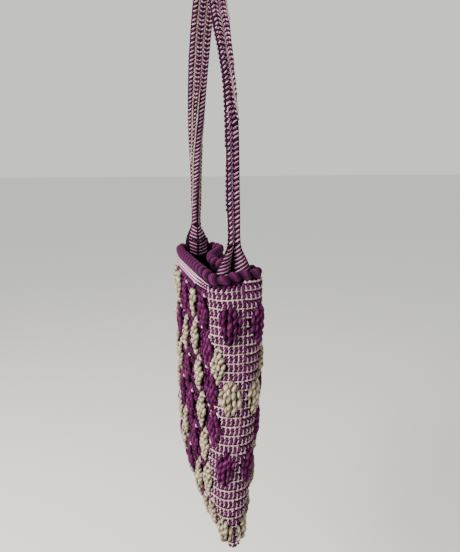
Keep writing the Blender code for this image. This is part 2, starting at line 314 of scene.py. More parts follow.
# A millimetre as a share of a panel's height, and roughly as one of its width round the curve
PANEL_GIRTH = 0.236
MM_DOWN = 0.001 / POUCH_HEIGHT
MM_ACROSS = 0.001 / PANEL_GIRTH

# Loops keep between these shares of the height
LOOPS_FROM = 0.036
LOOPS_TO = 0.985

# place is where a column of lozenges starts at the mouth and slant how far it drifts towards the
# near seam by the foot; colours has one letter for each lozenge, p purple and b beige
MOTIF_COLUMNS = ("place", "slant", "first", "step", "colours", "form")
MOTIFS = (
    (-0.87, 0.03, 0.150, 0.260, "pbpb", "heap"),
    (-0.74, 0.06, 0.290, 0.460, "bb", "pod"),
    (-0.67, 0.16, 0.105, 0.135, "ppppppp", "pod"),
    (-0.50, 0.36, 0.090, 0.131, "bbbbbbb", "pod"),
    (-0.34, 0.64, 0.100, 0.131, "bpbpbpb", "pod"),
    (-0.04, 0.70, 0.115, 0.128, "pbpppbb", "pod"),
    (0.34, 0.46, 0.085, 0.131, "bbbbbbb", "pod"),
    (0.57, 0.33, 0.111, 0.138, "pppp", "pod"),
    (0.74, 0.06, 0.290, 0.460, "b", "pod"),
    (0.86, 0.03, 0.145, 0.262, "pbpb", "heap"),
)

# A heap is five columns of plump upright loops, a pod seven tiers of small slanted ones. The
# pitches, spacings and leans are millimetres; a reach is a share of the pitch. Lifts, sizes and
# how far a loop's ends sink below its lift and its middle stands proud of it are metres.
HEAP_TIERS = {0: (-2, -1, 0, 1, 2), 1: (-1.5, -0.5, 0.5, 1.5), 2: (-0.6, 0.6)}
HEAP_PITCH = 8.4
HEAP_SPACING = 4.3
HEAP_SIDE_COLUMNS = 2
HEAP_LIFT = 0.0015
HEAP_DOME = 0.0032
HEAP_WIDTH = 0.0050
HEAP_THICK = 0.0048
HEAP_SUNK = 0.0016
HEAP_PROUD = 0.0006
LOOP_REACH = 0.62
POD_HALF = 3
POD_PITCH = 6.1
POD_SPACING = 4.3
POD_LIFT = 0.0008
POD_DOME = 0.0044
POD_DOME_TIERS = 3.9
POD_DOME_WIDE = 12.0
POD_WIDTH = 0.0043
POD_THICK = 0.0042
POD_SUNK = 0.0012
POD_PROUD = 0.0003
PURPLE_LEAN = 1.5
BEIGE_LEAN = 1.3
PURPLE_REACH = 0.78

# The pale links: their place beside a pod's middle and half their run and rise in millimetres,
# how far towards a pod's ends they lie, and the lozenges that have them
LINK_SHIFT = 3.4
LINK_RUN = 1.9
LINK_RISE = 1.4
LINK_LEVEL = 0.42
LINKS_FROM = 0.06
LINKS_TO = 0.9

# Every kind of yarn laid on a surface has its lift at the ends, its lift in the middle, its
# width and its thickness, in metres
LINK = (0.0016, 0.0034, 0.0022, 0.0022)


def lozenges():
    """Every lozenge of a panel: place, down, colour letter and form."""
    for row in MOTIFS:
        motif = dict(zip(MOTIF_COLUMNS, row))
        for turn, letter in enumerate(motif["colours"]):
            down = motif["first"] + turn * motif["step"]
            yield motif["place"] + motif["slant"] * down, down, letter, motif["form"]


def heap_loops(middle, down):
    """Loops of a heap: across and down of both ends, lifts, width and thickness."""
    for column in range(-HEAP_SIDE_COLUMNS, HEAP_SIDE_COLUMNS + 1):
        for tier in HEAP_TIERS[abs(column)]:
            fat = 1.05 - 0.10 * abs(tier) - 0.06 * abs(column) + 0.13 * chance.normal()
            lift = HEAP_LIFT + HEAP_DOME * (1 - 0.2 * abs(tier)) * (1 - 0.22 * abs(column))
            at = middle + (column * HEAP_SPACING + 0.6 * chance.normal()) * MM_ACROSS
            sway = 0.9 * chance.normal() * MM_ACROSS
            reach = LOOP_REACH * HEAP_PITCH * MM_DOWN
            centre = down + tier * HEAP_PITCH * MM_DOWN
            yield (at - sway, centre - reach, at + sway, centre + reach,
                   lift - HEAP_SUNK, lift + HEAP_PROUD, HEAP_WIDTH * fat, HEAP_THICK * fat)


def pod_loops(middle, down, letter):
    """Loops of a pod: beige ones lean to and fro like a plait, purple ones all one way."""
    for tier in range(-POD_HALF, POD_HALF + 1):
        count = POD_HALF + 1 - abs(tier)
        for place in range(count):
            off = (place - (count - 1) / 2) * POD_SPACING
            dome = (1 - (tier / POD_DOME_TIERS) ** 2) * (1 - (off / POD_DOME_WIDE) ** 2)
            lift = POD_LIFT + POD_DOME * dome + 0.0003 * chance.normal()
            lean = PURPLE_LEAN if letter == "p" else BEIGE_LEAN * (-1) ** (place + tier)
            lean = (lean + 0.6 * chance.normal()) * MM_ACROSS
            at = middle + (off + 0.25 * chance.normal()) * MM_ACROSS
            centre = down + (tier * POD_PITCH + 0.4 * chance.normal()) * MM_DOWN
            reach = (PURPLE_REACH if letter == "p" else LOOP_REACH) * POD_PITCH * MM_DOWN
            fat = 1.0 + 0.14 * chance.normal()
            yield (at - lean, centre - reach, at + lean, centre + reach,
                   lift - POD_SUNK, lift + POD_PROUD, POD_WIDTH * fat, POD_THICK * fat)


def loop_rows(wanted):
    """Sheet places of all the loops of one colour."""
    rows = []
    for place, down, letter, form in lozenges():
        if letter == wanted:
            middle = (place + 1) / 2
            loops = heap_loops(middle, down) if form == "heap" else pod_loops(middle, down, letter)
            rows += [loop for loop in loops if LOOPS_FROM < loop[1] and loop[3] < LOOPS_TO]
    return numpy.array(rows)


def link_rows():
    """Sheet places of the pale slanted threads where one pod ends and the next begins."""
    rows = []
    for place, down, _, form in lozenges():
        if form == "heap" or not LINKS_FROM < down < LINKS_TO:
            continue
        middle = (place + 1) / 2
        for end in (-1, 1):
            at = middle - end * LINK_SHIFT * MM_ACROSS
            level = down + end * LINK_LEVEL * POD_PITCH * (2 * POD_HALF + 1) * MM_DOWN
            rows.append((at - LINK_RUN * MM_ACROSS, level - LINK_RISE * MM_DOWN,
                         at + LINK_RUN * MM_ACROSS, level + LINK_RISE * MM_DOWN, *LINK))
    return numpy.array(rows)


def grain(sides, rings):
    """One plump bit of yarn: a unit ball's points and triangles, its length along Z."""
    bm = bmesh.new()
    bmesh.ops.create_uvsphere(bm, u_segments=sides, v_segments=rings, radius=1.0)
    bmesh.ops.triangulate(bm, faces=bm.faces)
    bm.verts.index_update()
    points = numpy.array([vert.co[:] for vert in bm.verts])
    faces = numpy.array([[vert.index for vert in face.verts] for face in bm.faces])
    bm.free()
    return points, faces


def yarn_piece(name, starts, middles, ends, outs, widths, thicks, sides, rings, blunt=0.65):
    """A piece made of many plump bits of yarn, each bent through three points."""
    ball, faces = grain(sides, rings)
    share = ((1 + ball[:, 2]) / 2)[None, :, None]
    fat = numpy.sqrt(numpy.maximum(1 - ball[:, 2] ** 2, 0.0))
    profile = numpy.where(fat > 1e-6, numpy.maximum(fat, 1e-6) ** (blunt - 1.0), 0.0)
    sideways = (ball[:, 0] * profile)[None, :, None]
    upward = (ball[:, 1] * profile)[None, :, None]
    starts, middles, ends = starts[:, None], middles[:, None], ends[:, None]
    handle = 2 * middles - (starts + ends) / 2
    centre = (1 - share) ** 2 * starts + 2 * share * (1 - share) * handle + share**2 * ends
    heading = 2 * (1 - share) * (handle - starts) + 2 * share * (ends - handle)
    heading /= numpy.maximum(numpy.linalg.norm(heading, axis=2, keepdims=True), 1e-12)
    side_way = numpy.cross(heading, outs[:, None])
    side_way /= numpy.maximum(numpy.linalg.norm(side_way, axis=2, keepdims=True), 1e-12)
    up_way = numpy.cross(side_way, heading)
    points = centre + side_way * sideways * widths[:, None, None] / 2
    points = points + up_way * upward * thicks[:, None, None] / 2
    count, size = points.shape[:2]
    all_faces = faces[None] + (numpy.arange(count) * size)[:, None, None]
    mesh = bpy.data.meshes.new(name)
    mesh.from_pydata(points.reshape(-1, 3).tolist(), [], all_faces.reshape(-1, 3).tolist())
    lengths = numpy.linalg.norm(ends - starts, axis=2)
    ply = numpy.empty((count, size, 3), dtype=numpy.float32)
    ply[:, :, 0] = lengths * share[0, :, 0] * 1000
    ply[:, :, 1] = numpy.arctan2(ball[:, 1], ball[:, 0])
    ply[:, :, 2] = chance.random(count)[:, None]
    mesh.attributes.new("ply", "FLOAT_VECTOR", "POINT").data.foreach_set("vector", ply.ravel())
    piece = bpy.data.objects.new(name, mesh)
    bpy.context.scene.collection.objects.link(piece)
    bm = bmesh.new()
    bm.from_mesh(mesh)
    bmesh.ops.recalc_face_normals(bm, faces=bm.faces)
    bm.to_mesh(mesh)
    bm.free()
    return piece


def lay_rows(name, sheet, rows, sides, rings, blunt=0.65):
    """Lays the bits of yarn of a table of sheet places on a surface."""
    across_a, down_a, across_b, down_b, lift_end, lift_middle, widths, thicks = rows.T
    starts, _ = on_sheet(sheet, across_a, down_a, lift_end)
    ends, _ = on_sheet(sheet, across_b, down_b, lift_end)
    middles, outs = on_sheet(sheet, (across_a + across_b) / 2, (down_a + down_b) / 2, lift_middle)
    return yarn_piece(name, starts, middles, ends, outs, widths, thicks, sides, rings, blunt)


# How strongly a yarn's twist and its own tone darken or lighten it. The twist paints shade into
# the grooves between the plies and light onto their crests; elsewhere the tone is the yarn's own,
# and on the rim it is painted shade in the dents.
PLY_DEPTH = 0.22
TONE_AND_PAINTED_SHADE_DEPTH = 0.30


def yarn_material(name, dark, base, light, lay_length, plies, fuzz):
    """Spun wool yarn: matt plies twisted round each other, with streaks of lighter fibre, painted
    shade in the grooves between the plies and painted light on their crests.

    lay_length is the millimetres of one turn of the twist, drawn as coarse as shows here.
    """
    material, shader = new_material(name, 0.92, 0.02)
    ply = add_node(material, "ShaderNodeAttribute", {"attribute_name": "ply"})
    parts = add_node(material, "ShaderNodeSeparateXYZ", Vector=ply.outputs["Vector"])
    along, around, tone_and_painted_shade = (parts.outputs[axis] for axis in "XYZ")
    turns = add_node(material, "ShaderNodeMath", {"operation": "MULTIPLY_ADD"},
                     i0=along, i1=2 * math.pi / lay_length, i2=around)
    cosine = add_node(material, "ShaderNodeMath", {"operation": "COSINE"}, i0=turns.outputs[0])
    sine = add_node(material, "ShaderNodeMath", {"operation": "SINE"}, i0=turns.outputs[0])
    drift = add_node(material, "ShaderNodeMath", {"operation": "MULTIPLY_ADD"},
                     i0=along, i1=0.12, i2=add_node(
                         material, "ShaderNodeMath", {"operation": "MULTIPLY"},
                         i0=tone_and_painted_shade, i1=37.0).outputs[0])
    fibre_place = add_node(material, "ShaderNodeCombineXYZ",
                           X=cosine.outputs[0], Y=sine.outputs[0], Z=drift.outputs[0])
    fibres = add_node(material, "ShaderNodeTexNoise", Vector=fibre_place.outputs[0],
                      Scale=3.2, Detail=5.0, Roughness=0.65)
    many = add_node(material, "ShaderNodeMath", {"operation": "MULTIPLY"},
                    i0=turns.outputs[0], i1=float(plies))
    strand = add_node(material, "ShaderNodeMath", {"operation": "COSINE"}, i0=many.outputs[0])
    # Painted shade and light: the twist darkens the colour in the grooves between the plies and
    # lightens it on their crests, with the fibre streaks and the tone added.
    height = add_node(material, "ShaderNodeMath", {"operation": "MULTIPLY_ADD"},
                      i0=strand.outputs[0], i1=PLY_DEPTH, i2=fibres.outputs["Fac"])
    shade = add_node(material, "ShaderNodeMath", {"operation": "MULTIPLY_ADD"},
                     i0=tone_and_painted_shade, i1=TONE_AND_PAINTED_SHADE_DEPTH, i2=height.outputs[0])
    level = add_node(material, "ShaderNodeMapRange", Value=shade.outputs[0],
                     From_Min=0.35, From_Max=1.05)
    ramp = add_node(material, "ShaderNodeValToRGB", Fac=level.outputs[0])
    ramp.color_ramp.elements[0].color = linear(dark)
    ramp.color_ramp.elements[1].color = linear(light)
    ramp.color_ramp.elements.new(0.5).color = linear(base)
    bump = add_node(material, "ShaderNodeBump", Strength=fuzz, Distance=0.0007,
                    Height=height.outputs[0])
    material.node_tree.links.new(ramp.outputs["Color"], shader.inputs["Base Color"])
    material.node_tree.links.new(bump.outputs["Normal"], shader.inputs["Normal"])
    return material


# Each yarn's dark, base and light colours: its twist paints shade in the dark and light in the
# pale, beside its own paler fibre streaks.
purple_roving = yarn_material("purple_wool_roving", "#190414", "#470c3b", "#702760", 14.0, 2, 0.8)
beige_roving = yarn_material("undyed_wool_roving", "#4a4033", "#8c7f6b", "#bdb19e", 14.0, 2, 0.8)
link_thread = yarn_material("pale_lilac_thread", "#876876", "#bd9ea9", "#e2cbd0", 9.0, 2, 0.4)

for side in (FRONT, BACK):
    name = SIDE_NAMES[side]
    for word, rows, finish in (
        ("purple_lozenges", loop_rows("p"), purple_roving),
        ("beige_lozenges", loop_rows("b"), beige_roving),
        ("pale_links", link_rows(), link_thread),
    ):
        piece = lay_rows(f"{name}_{word}", sheets[side], rows, 7, 6, 0.55)
        finish_piece(piece, finish, [f"{name}_panel"])


# The worked rows of the ground, between the lozenges.
# By the seams every row has a beige cord along it with a short lilac tick at each stitch. Below
# it, and between the pods too, lie two lines of small slanted purple strands; by the seams the
# lower line has a paler strand beside each.

FIRST_ROW = 0.029
ROW_PITCH = 0.0304
ROW_GROWTH = 0.00012
ROW_COUNT = 29
STITCHES = 48
TOP_ROW = 0.003
ROWS_TO = 0.99

# The beige cords run from each seam to this place; between the columns of pods there are none, and
# the near-black ground shows there as painted shade
PLAIN_PLACE = 0.66

# Where the two lines of strands lie below a cord, as shares of the row, and whether paler
# strands lie beside them; on the back panel they are higher by BACK_SHIFT
STRAND_LINES = ((0.36, False), (0.68, True))
BACK_SHIFT = 0.10

# A cord's bits overlap by running this far to each side, as a share of the stitch; the rest are
# millimetres
CORD_REACH = 0.62
TICK_LENGTH = 5.0
TICK_TUCK = 1.2
TICK_SWAY = 1.1
STRAND_RISE = 2.4
STRAND_RUN = 1.2
CORD = (0.0010, 0.0018, 0.0021, 0.0019)
TICK = (0.0006, 0.0022, 0.0014, 0.0014)
PURPLE_STRAND = (0.0006, 0.0018, 0.0031, 0.0027)
PALE_STRAND = (0.0008, 0.0021, 0.0014, 0.0015)

# Half the width and half the height, in millimetres, of the ground that a lozenge hides
COVER = {"heap": (12.5, 24.0), "pod": (9.0, 22.0)}
COVER_EDGE = 0.9


def covered(place, down):
    """True where a lozenge hides the ground."""
    for at, middle, _, form in lozenges():
        wide, tall = COVER[form]
        sideways = abs(place - at) / (2 * wide * MM_ACROSS)
        if sideways + abs(down - middle) / (tall * MM_DOWN) < COVER_EDGE:
            return True
    return False


def ground_rows(side):
    """Sheet places of the cords, of the purple strands, and of the pale strands and ticks."""
    cords, purple, pale = [], [], []
    tick_way = 1 if side == FRONT else -1
    for row in range(-1, ROW_COUNT):
        down = max(FIRST_ROW + row * ROW_PITCH + row**2 * ROW_GROWTH, TOP_ROW)
        for stitch in range(STITCHES):
            across = (stitch + 0.5) / STITCHES
            place = 2 * across - 1
            jitter = chance.normal(0.0, 1.0, 6)
            striped = abs(place) > PLAIN_PLACE
            if striped and not covered(place, down) and (row >= 0 or side == BACK):
                cords.append((across - CORD_REACH / STITCHES, down + 0.2 * jitter[0] * MM_DOWN,
                              across + CORD_REACH / STITCHES, down + 0.2 * jitter[1] * MM_DOWN,
                              *CORD))
                root = down - tick_way * TICK_TUCK * MM_DOWN
                tip = down + tick_way * (TICK_LENGTH + 0.5 * jitter[2]) * MM_DOWN
                sway = (TICK_SWAY + 0.5 * jitter[3]) * tick_way * MM_ACROSS
                pale.append((across + sway, root, across - sway, tip, *TICK))
            for line, paler in STRAND_LINES:
                middle = down + (line if side == FRONT else line - BACK_SHIFT) * ROW_PITCH
                if covered(place, middle) or middle > ROWS_TO:
                    continue
                rise = (STRAND_RISE + 0.2 * jitter[4]) * MM_DOWN
                run = STRAND_RUN * MM_ACROSS
                beside = across + 0.5 / STITCHES
                purple.append((beside - run, middle + rise, beside + run, middle - rise,
                               *PURPLE_STRAND))
                if paler and striped:
                    pale.append((across - 0.9 * run, middle + 1.2 * rise, across + 0.9 * run,
                                 middle - 1.2 * rise, *PALE_STRAND))
    return numpy.array(cords), numpy.array(purple), numpy.array(pale)


beige_cord = yarn_material("beige_cotton_cord", "#6d5a57", "#ac948f", "#dccac5", 4.0, 2, 0.5)
purple_strand = yarn_material("purple_wool_strand", "#150310", "#410c36", "#6a265d", 4.0, 2, 0.5)
pale_strand = yarn_material("pale_lilac_strand", "#7b566d", "#b48ca3", "#dec3d1", 4.0, 2, 0.4)

for side in (FRONT, BACK):
    cords, purple, pale = ground_rows(side)
    for word, rows, finish in (
        ("beige_rows", cords, beige_cord),
        ("purple_strands", purple, purple_strand),
        ("pale_strands", pale, pale_strand),
    ):
        piece = lay_rows(f"{SIDE_NAMES[side]}_{word}", sheets[side], rows, 5, 4)
        finish_piece(piece, finish, [f"{SIDE_NAMES[side]}_panel"])


# The strip under the front of the rim: three long loose threads that lie side by side from
# the far seam to the near corner, pale lilac, cream and lilac again.

STRIP_START = 0.01
STRIP_END = 0.70
STRIP_LIFT = 0.0016
STRIP_THREADS = (
    ("upper", 0.007, 0.0032, "#765069", "#a27f96", "#c6a9ba"),
    ("middle", 0.018, 0.0030, "#9c8584", "#c8b2b0", "#e2d1ce"),
    ("lower", 0.029, 0.0030, "#765069", "#a27f96", "#c6a9ba"),
)
THREAD_STATIONS = 120
THREAD_SIDES = 8


def thread(name, points, outs, thickness):
    """A round thread along a run of points; outs are directions square to it."""
    along = numpy.gradient(points, axis=0)
    along /= numpy.linalg.norm(along, axis=1, keepdims=True)
    sideways = numpy.cross(along, outs)
    sideways /= numpy.linalg.norm(sideways, axis=1, keepdims=True)
    upwards = numpy.cross(sideways, along)
    angle = numpy.linspace(0.0, 2 * math.pi, THREAD_SIDES + 1)
    count = len(points)
    from_end = numpy.minimum(numpy.arange(count), numpy.arange(count)[::-1])
    taper = numpy.minimum(1.0, 4.0 * from_end / count + 0.2)
    radius = (thickness / 2 * taper)[:, None, None]
    around = numpy.cos(angle)[None, :, None] * sideways[:, None]
    around = around + numpy.sin(angle)[None, :, None] * upwards[:, None]
    steps = numpy.linalg.norm(numpy.diff(points, axis=0, prepend=points[:1]), axis=1)
    run = numpy.cumsum(steps)[:, None] * 1000
    ply = numpy.stack(numpy.broadcast_arrays(run, angle[None], 0.5 + 0 * run), axis=2)
    return shaped_grid(name, points[:, None] + radius * around, ply)


for word, down, thickness, dark, base, light in STRIP_THREADS:
    across = numpy.linspace(STRIP_START, (STRIP_END + 1) / 2, THREAD_STATIONS)
    lift = numpy.full(THREAD_STATIONS, STRIP_LIFT)
    points, outs = on_sheet(sheets[FRONT], across, numpy.full(THREAD_STATIONS, down), lift)
    finish = yarn_material(f"strip_{word}_thread", dark, base, light, 9.0, 2, 0.4)
    piece = thread(f"front_strip_{word}_thread", points, outs, thickness)
    finish_piece(piece, finish, ["front_panel"])


# The rim: a fat roll of purple roving wrapped over the mouth's edge, turn by turn.
# Each turn slants a little and bulges between the dents where the next one starts; three
# parallel strands of roving show in each. The dents and the gaps between the strands are darkened
# with painted shade.

RIM_TURNS = 40
TURN_STEPS = 16
ROLL_SIDES = 28
TURN_SLANT = 0.18
TURN_DENT = 0.5
STRAND_DENT = 0.07

# The roll's fullest radius as a share of RIM_RADIUS, and how much painted shade darkens the roving
# in the dents between turns and between the strands of each turn
ROLL_FULLNESS = 1.10
DENT_PAINTED_SHADE = 2.4
STRAND_PAINTED_SHADE = 0.6


def mouth_loop(count):
    """The middle of the roll round the whole mouth, as a closed run of points."""
    halves = [
        numpy.column_stack((wall_line(side, 0.0, WALL / 2), mouth_heights(side)))
        for side in (FRONT, BACK)
    ]
    near_to_far = halves[1][::-1]
    loop = numpy.concatenate((halves[0][:-1], near_to_far[:-1], halves[0][:1]))
    return evenly(loop, count + 1)


def roll_points():
    """A grid of points round and along the wrapped roll, and its ply attribute's values."""
    count = RIM_TURNS * TURN_STEPS
    centres = mouth_loop(count)
    along = numpy.roll(centres[:-1], -1, axis=0) - numpy.roll(centres[:-1], 1, axis=0)
    along = numpy.concatenate((along, along[:1]))
    along /= numpy.linalg.norm(along, axis=1, keepdims=True)
    sideways = numpy.cross(along, (0.0, 0.0, 1.0))
    sideways /= numpy.linalg.norm(sideways, axis=1, keepdims=True)
    upwards = numpy.cross(sideways, along)
    angle = numpy.linspace(0.0, 2 * math.pi, ROLL_SIDES + 1)[None]
    turn = (numpy.arange(count + 1) / TURN_STEPS)[:, None] + TURN_SLANT * numpy.sin(angle)
    dent = numpy.abs(numpy.sin(math.pi * turn)) ** 0.85
    strands = numpy.abs(numpy.sin(3 * math.pi * turn)) ** 0.6
    hollow = TURN_DENT * (1 - dent) + STRAND_DENT * (1 - strands)
    radius = RIM_RADIUS * (ROLL_FULLNESS - hollow)
    spread = numpy.cos(angle)[..., None] * sideways[:, None]
    spread = spread + numpy.sin(angle)[..., None] * upwards[:, None]
    points = centres[:, None] + radius[..., None] * spread
    # Painted shade: the tone darkens the roving in the dents between turns and between their
    # strands.
    tone_and_painted_shade = 1.0 - DENT_PAINTED_SHADE * (1 - dent) - STRAND_PAINTED_SHADE * (1 - strands)
    ply = numpy.stack((angle * RIM_RADIUS * 1000 + 0 * turn, turn * 6 * math.pi, tone_and_painted_shade), axis=2)
    return points, ply


rim_roving = yarn_material("rim_purple_roving", "#160312", "#440d39", "#6d275e", 9.0, 2, 0.7)
finish_piece(shaped_grid("rim_wraps", *roll_points()), rim_roving, ["rim"])


# The strap: one tightly woven band, flat over the top and folded lengthwise lower down.
# Three purple ridges of slanted strands run along it with two pale chains between them. Each
# end opens into a fan, sewn inside the roll.

STRAP_WIDTH = 0.022
STRAP_THICK = 0.0045
NECK_WIDTH = 0.012
FAN_WIDTH = 0.040
FAN_RISE = 0.029
FAN_TUCK = 0.014
GROOVE_POWER = 1.5
BAND_PITCH = 0.0045
HALF_STATIONS = 121
BAND_STEPS = 24

# run counts from the mouth along the near half, up is a share of STRAP_DROP climbed and out a
# share of the half width; the last row is past the top, on the far half
STRAP_TOP = 1.09
STRAP_COLUMNS = ("run", "up", "out")
STRAP_LINE = (
    (0.11, 0.11, 0.940),
    (0.25, 0.248, 0.900),
    (0.44, 0.438, 0.867),
    (0.57, 0.569, 0.789),
    (0.68, 0.672, 0.692),
    (0.775, 0.759, 0.592),
    (0.86, 0.836, 0.472),
    (0.945, 0.911, 0.330),
    (1.03, 0.976, 0.165),
    (STRAP_TOP, 1.0, 0.0),
    (1.15, 0.976, -0.165),
)

# groove is the depth of the valley between the two folded halves of the band, and side is how
# far it leans out of the strap's plane
FOLD_COLUMNS = ("run", "width", "groove", "side")
NEAR_FOLDS = (
    (-FAN_TUCK / STRAP_DROP, FAN_WIDTH, 0.44 * NECK_WIDTH, 0.0),
    (0.0, FAN_WIDTH, 0.69 * NECK_WIDTH, 0.0),
    (0.5 * FAN_RISE / STRAP_DROP, 0.70 * FAN_WIDTH, 0.75 * NECK_WIDTH, 0.0),
    (FAN_RISE / STRAP_DROP, NECK_WIDTH, 0.50 * NECK_WIDTH, 0.0),
    (0.22, 0.98 * NECK_WIDTH, 0.38 * NECK_WIDTH, 0.0),
    (0.45, 0.96 * NECK_WIDTH, 0.34 * NECK_WIDTH, 0.0),
    (0.60, 0.88 * NECK_WIDTH, 0.30 * NECK_WIDTH, 0.0),
    (0.70, 0.97 * NECK_WIDTH, 0.24 * NECK_WIDTH, -0.05 * STRAP_WIDTH),
    (0.80, 0.68 * STRAP_WIDTH, 0.15 * NECK_WIDTH, -0.10 * STRAP_WIDTH),
    (0.88, 0.71 * STRAP_WIDTH, 0.08 * NECK_WIDTH, -0.11 * STRAP_WIDTH),
    (STRAP_TOP, STRAP_WIDTH, 0.0, 0.0),
)
FAR_FOLDS = (
    (-FAN_TUCK / STRAP_DROP, FAN_WIDTH, 0.44 * NECK_WIDTH, 0.0),
    (0.0, FAN_WIDTH, 0.69 * NECK_WIDTH, 0.0),
    (0.5 * FAN_RISE / STRAP_DROP, 0.70 * FAN_WIDTH, 0.75 * NECK_WIDTH, 0.0),
    (FAN_RISE / STRAP_DROP, 0.90 * NECK_WIDTH, 0.62 * NECK_WIDTH, 0.0),
    (0.20, 0.92 * NECK_WIDTH, 0.60 * NECK_WIDTH, 0.0),
    (0.30, 1.02 * NECK_WIDTH, 0.55 * NECK_WIDTH, 0.0),
    (0.40, 1.22 * NECK_WIDTH, 0.45 * NECK_WIDTH, 0.0),
    (0.50, 0.82 * STRAP_WIDTH, 0.35 * NECK_WIDTH, 0.0),
    (0.60, 0.93 * STRAP_WIDTH, 0.22 * NECK_WIDTH, 0.0),
    (0.72, STRAP_WIDTH, 0.08 * NECK_WIDTH, 0.0),
    (0.85, 1.03 * STRAP_WIDTH, 0.0, 0.0),
    (STRAP_TOP, STRAP_WIDTH, 0.0, 0.0),
)


def fan_line(end):
    """The inside of the roll at one end of the mouth, where a fan is sewn.

    end is 1 for the near end and -1 for the far one. Columns: distance along the line from
    the strap's plane, distance out, y, and the unit direction into the mouth.
    """
    inset = WALL / 2 + RIM_RADIUS + GAP
    front = wall_line(FRONT, 0.0, inset, LINE_STEPS)[::end]
    back = wall_line(BACK, 0.0, inset, LINE_STEPS)[::-end]
    middle = LINE_STEPS // 2
    line = numpy.concatenate((front[middle:], back[:numpy.argmax(back[:middle, 1])]))
    line = evenly(line * (end, 1), LINE_STEPS)
    run = numpy.linalg.norm(line[1] - line[0]) * numpy.arange(LINE_STEPS)
    run -= numpy.interp(0.0, line[:, 1], run)
    along = numpy.gradient(line, axis=0)
    along /= numpy.linalg.norm(along, axis=1, keepdims=True)
    return numpy.column_stack((run, line, -along[:, 1], along[:, 0]))


def strap_centre(seat, run):
    """Outer line of half the strap, from its seat in the mouth: distance out and height."""
    if run <= 0.0:
        return seat, RIM_LEVEL + run * STRAP_DROP
    point = row_at(STRAP_COLUMNS, ((0.0, 0.0, seat / HALF_WIDTH),) + STRAP_LINE, run)
    return point["out"] * HALF_WIDTH, RIM_LEVEL + point["up"] * (STRAP_DROP + STRAP_THICK)


def band_section(roll, folds, run, before, after):
    """The outer and the inner face of the folded band at one station, as rows of points."""
    seat = numpy.interp(0.0, roll[:, 0], roll[:, 1])
    out, height = strap_centre(seat, run)
    direction = numpy.array(strap_centre(seat, after)) - numpy.array(strap_centre(seat, before))
    if run >= STRAP_TOP:
        direction = numpy.array((-1.0, 0.0))
    normal = numpy.array((direction[1], -direction[0])) / numpy.linalg.norm(direction)
    fold = row_at(FOLD_COLUMNS, folds, run)
    sewn = min(max(1.0 - (run * STRAP_DROP - RIM_RADIUS) / (FAN_RISE - RIM_RADIUS), 0.0), 1.0)
    shares = numpy.linspace(-1.0, 1.0, BAND_STEPS + 1)
    across = shares * fold["width"] / 2
    seat_out, seat_y, in_out, in_y = (
        numpy.interp(across, roll[:, 0], column) for column in roll.T[1:]
    )
    faces = []
    for depth in (0.0, STRAP_THICK):
        sunk = depth + max(fold["groove"], 0.0) * (1.0 - numpy.abs(shares)) ** GROOVE_POWER
        free = (out - normal[0] * sunk, across + fold["side"], height - normal[1] * sunk)
        seated = (seat_out + in_out * sunk, seat_y + in_y * sunk, numpy.full_like(across, height))
        faces.append(sewn * numpy.column_stack(seated) + (1.0 - sewn) * numpy.column_stack(free))
    return faces


def band_half(end):
    """Both faces of half the strap, from its fan up to the top: station, face, step, axis."""
    roll = fan_line(end)
    folds = NEAR_FOLDS if end > 0 else FAR_FOLDS
    runs = numpy.linspace(-FAN_TUCK / STRAP_DROP, STRAP_TOP, HALF_STATIONS)
    step = runs[1] - runs[0]
    stations = [
        band_section(roll, folds, run, run - step, min(run + step, STRAP_TOP)) for run in runs
    ]
    return numpy.array(stations) * (end, 1, 1)


def even_stations(faces):
    """The band's stations at equal distances along it, and its whole length."""
    middle = faces.mean(axis=(1, 2))
    steps = numpy.linalg.norm(numpy.diff(middle, axis=0), axis=1)
    run = numpy.concatenate(([0.0], numpy.cumsum(steps)))
    places = numpy.linspace(0.0, run[-1], len(faces))
    flat = faces.reshape(len(faces), -1)
    even = numpy.column_stack([numpy.interp(places, run, column) for column in flat.T])
    return even.reshape(faces.shape), run[-1]


# Where the columns of strokes meet on each face of the band, as shares across it; run counts as
# above. The columns turn round the band as it twists. A chain lies on each chain line, and small
# pale beads on the bead line.
OUTER_COLUMNS = ("run", "chain_a", "bead", "groove", "crest_a", "chain_b", "crest_b", "chain_c")
OUTER_FACE = (
    (-0.05, -0.05, 0.30, 0.60, 1.15, 1.40, 1.60, 1.80),
    (0.10, -0.05, 0.30, 0.60, 1.15, 1.40, 1.60, 1.80),
    (0.25, -0.05, 0.27, 0.53, 1.15, 1.40, 1.60, 1.80),
    (0.35, -0.05, 0.25, 0.50, 1.15, 1.40, 1.60, 1.80),
    (0.48, -0.07, 0.15, 0.43, 0.98, 1.12, 1.30, 1.50),
    (0.55, -0.10, 0.02, 0.41, 0.69, 0.91, 1.10, 1.30),
    (0.65, -0.20, -0.10, 0.33, 0.51, 0.73, 0.95, 1.15),
    (0.75, -0.30, -0.20, 0.12, 0.29, 0.59, 0.82, 1.02),
    (0.85, -0.35, -0.30, -0.02, 0.23, 0.52, 0.76, 0.97),
    (STRAP_TOP, -0.35, -0.30, -0.02, 0.20, 0.50, 0.76, 0.97),
)
INNER_COLUMNS = ("run", "edge", "chain_a", "crest_a", "chain_b", "crest_b", "chain_c")
INNER_FACE = (
    (0.10, -0.60, -0.30, -0.20, -0.05, -0.05, 0.66),
    (0.25, -0.50, -0.20, -0.10, 0.16, 0.18, 0.77),
    (0.37, -0.30, 0.03, 0.10, 0.24, 0.28, 0.80),
    (0.48, -0.10, 0.20, 0.27, 0.43, 0.50, 0.92),
    (0.60, 0.00, 0.25, 0.36, 0.54, 0.64, 1.02),
    (0.75, 0.00, 0.29, 0.47, 0.64, 0.80, 1.06),
    (0.85, 0.00, 0.27, 0.47, 0.64, 0.80, 1.05),
    (STRAP_TOP, 0.00, 0.27, 0.47, 0.64, 0.80, 1.05),
)

